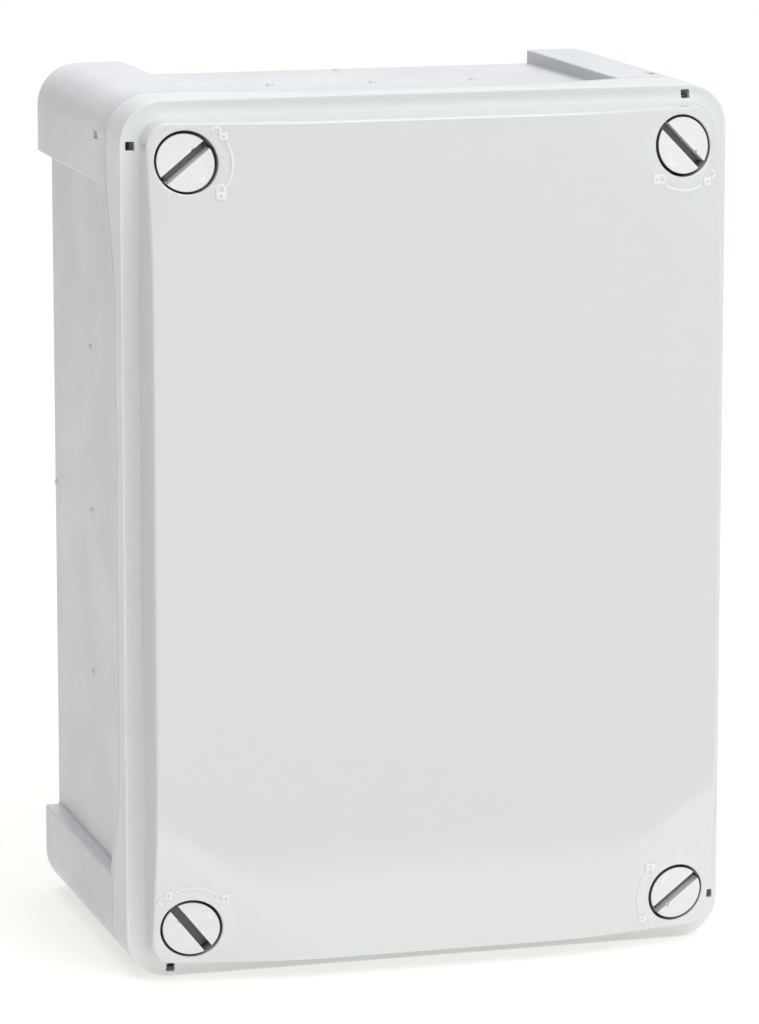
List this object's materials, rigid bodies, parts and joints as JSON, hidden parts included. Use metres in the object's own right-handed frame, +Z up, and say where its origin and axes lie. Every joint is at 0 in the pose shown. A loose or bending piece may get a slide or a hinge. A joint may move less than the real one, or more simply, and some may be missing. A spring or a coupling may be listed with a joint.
{
  "type": "electrical junction box",
  "caption": "Deep moulded wiring enclosure with square corner posts and a raised lid, held by slotted quarter-turn closures, with a terminal rail on a steel plate inside.",
  "frame": {"origin": "bottom centre of the whole box: middle of its width and depth, at the height of the faces it stands on", "axes": "+Z up along the height, +Y towards the wall face, so the lid faces -Y; +X to the right seen from the front"},
  "size_m": [0.24, 0.165, 0.339],
  "materials": {
    "shell_grey": "moulded thermoplastic, satin on the lid's panel and finely textured on the sides",
    "closure_grey": "moulded polyamide, satin",
    "seal_foam": "foamed polyurethane seal",
    "seal_rubber": "smooth moulded rubber",
    "spring_steel": "bright spring steel",
    "zinc_steel": "galvanised sheet",
    "zinc_screw": "bright zinc plate",
    "terminal_grey": "moulded polyamide",
    "earth_green": "moulded polyamide, green with yellow"
  },
  "bodies": {
    "base_body": {"base": "shell_grey", "mounting_plate": "zinc_steel", "plate_screw_top_left": "zinc_screw", "plate_screw_top_right": "zinc_screw", "plate_screw_bottom_right": "zinc_screw", "plate_screw_bottom_left": "zinc_screw", "terminal_rail": "zinc_steel", "rail_screw_left": "zinc_screw", "rail_screw_right": "zinc_screw", "terminal_1": "terminal_grey", "terminal_2": "terminal_grey", "terminal_3": "terminal_grey", "terminal_4": "terminal_grey", "terminal_5": "terminal_grey", "terminal_6": "terminal_grey", "terminal_7": "terminal_grey", "terminal_8": "terminal_grey", "earth_terminal_left": "earth_green", "earth_terminal_right": "earth_green", "end_stop_left": "terminal_grey", "end_stop_right": "terminal_grey"},
    "lid_body": {"lid": "shell_grey", "lid_gasket": "seal_foam"},
    "closure_body_top_left": {"closure_top_left": "closure_grey", "closure_oring_top_left": "seal_rubber", "closure_clip_top_left": "spring_steel"},
    "closure_body_top_right": {"closure_top_right": "closure_grey", "closure_oring_top_right": "seal_rubber", "closure_clip_top_right": "spring_steel"},
    "closure_body_bottom_right": {"closure_bottom_right": "closure_grey", "closure_oring_bottom_right": "seal_rubber", "closure_clip_bottom_right": "spring_steel"},
    "closure_body_bottom_left": {"closure_bottom_left": "closure_grey", "closure_oring_bottom_left": "seal_rubber", "closure_clip_bottom_left": "spring_steel"}
  },
  "joints": [
    {"name": "lid_lift_off", "type": "slide", "parent": "base_body", "child": "lid_body", "axis": [0, -1, 0], "range_m": [0, 0.1]},
    {"name": "closure_turn_top_left", "type": "hinge", "parent": "lid_body", "child": "closure_body_top_left", "pos_m": [-0.0978, -0.0625, 0.3168], "axis": [0, -1, 0], "range_deg": [0, 90]},
    {"name": "closure_turn_top_right", "type": "hinge", "parent": "lid_body", "child": "closure_body_top_right", "pos_m": [0.0978, -0.0625, 0.3168], "axis": [0, -1, 0], "range_deg": [0, 90]},
    {"name": "closure_turn_bottom_right", "type": "hinge", "parent": "lid_body", "child": "closure_body_bottom_right", "pos_m": [0.0978, -0.0625, 0.0222], "axis": [0, -1, 0], "range_deg": [0, 90]},
    {"name": "closure_turn_bottom_left", "type": "hinge", "parent": "lid_body", "child": "closure_body_bottom_left", "pos_m": [-0.0978, -0.0625, 0.0222], "axis": [0, -1, 0], "range_deg": [0, 90]}
  ]
}
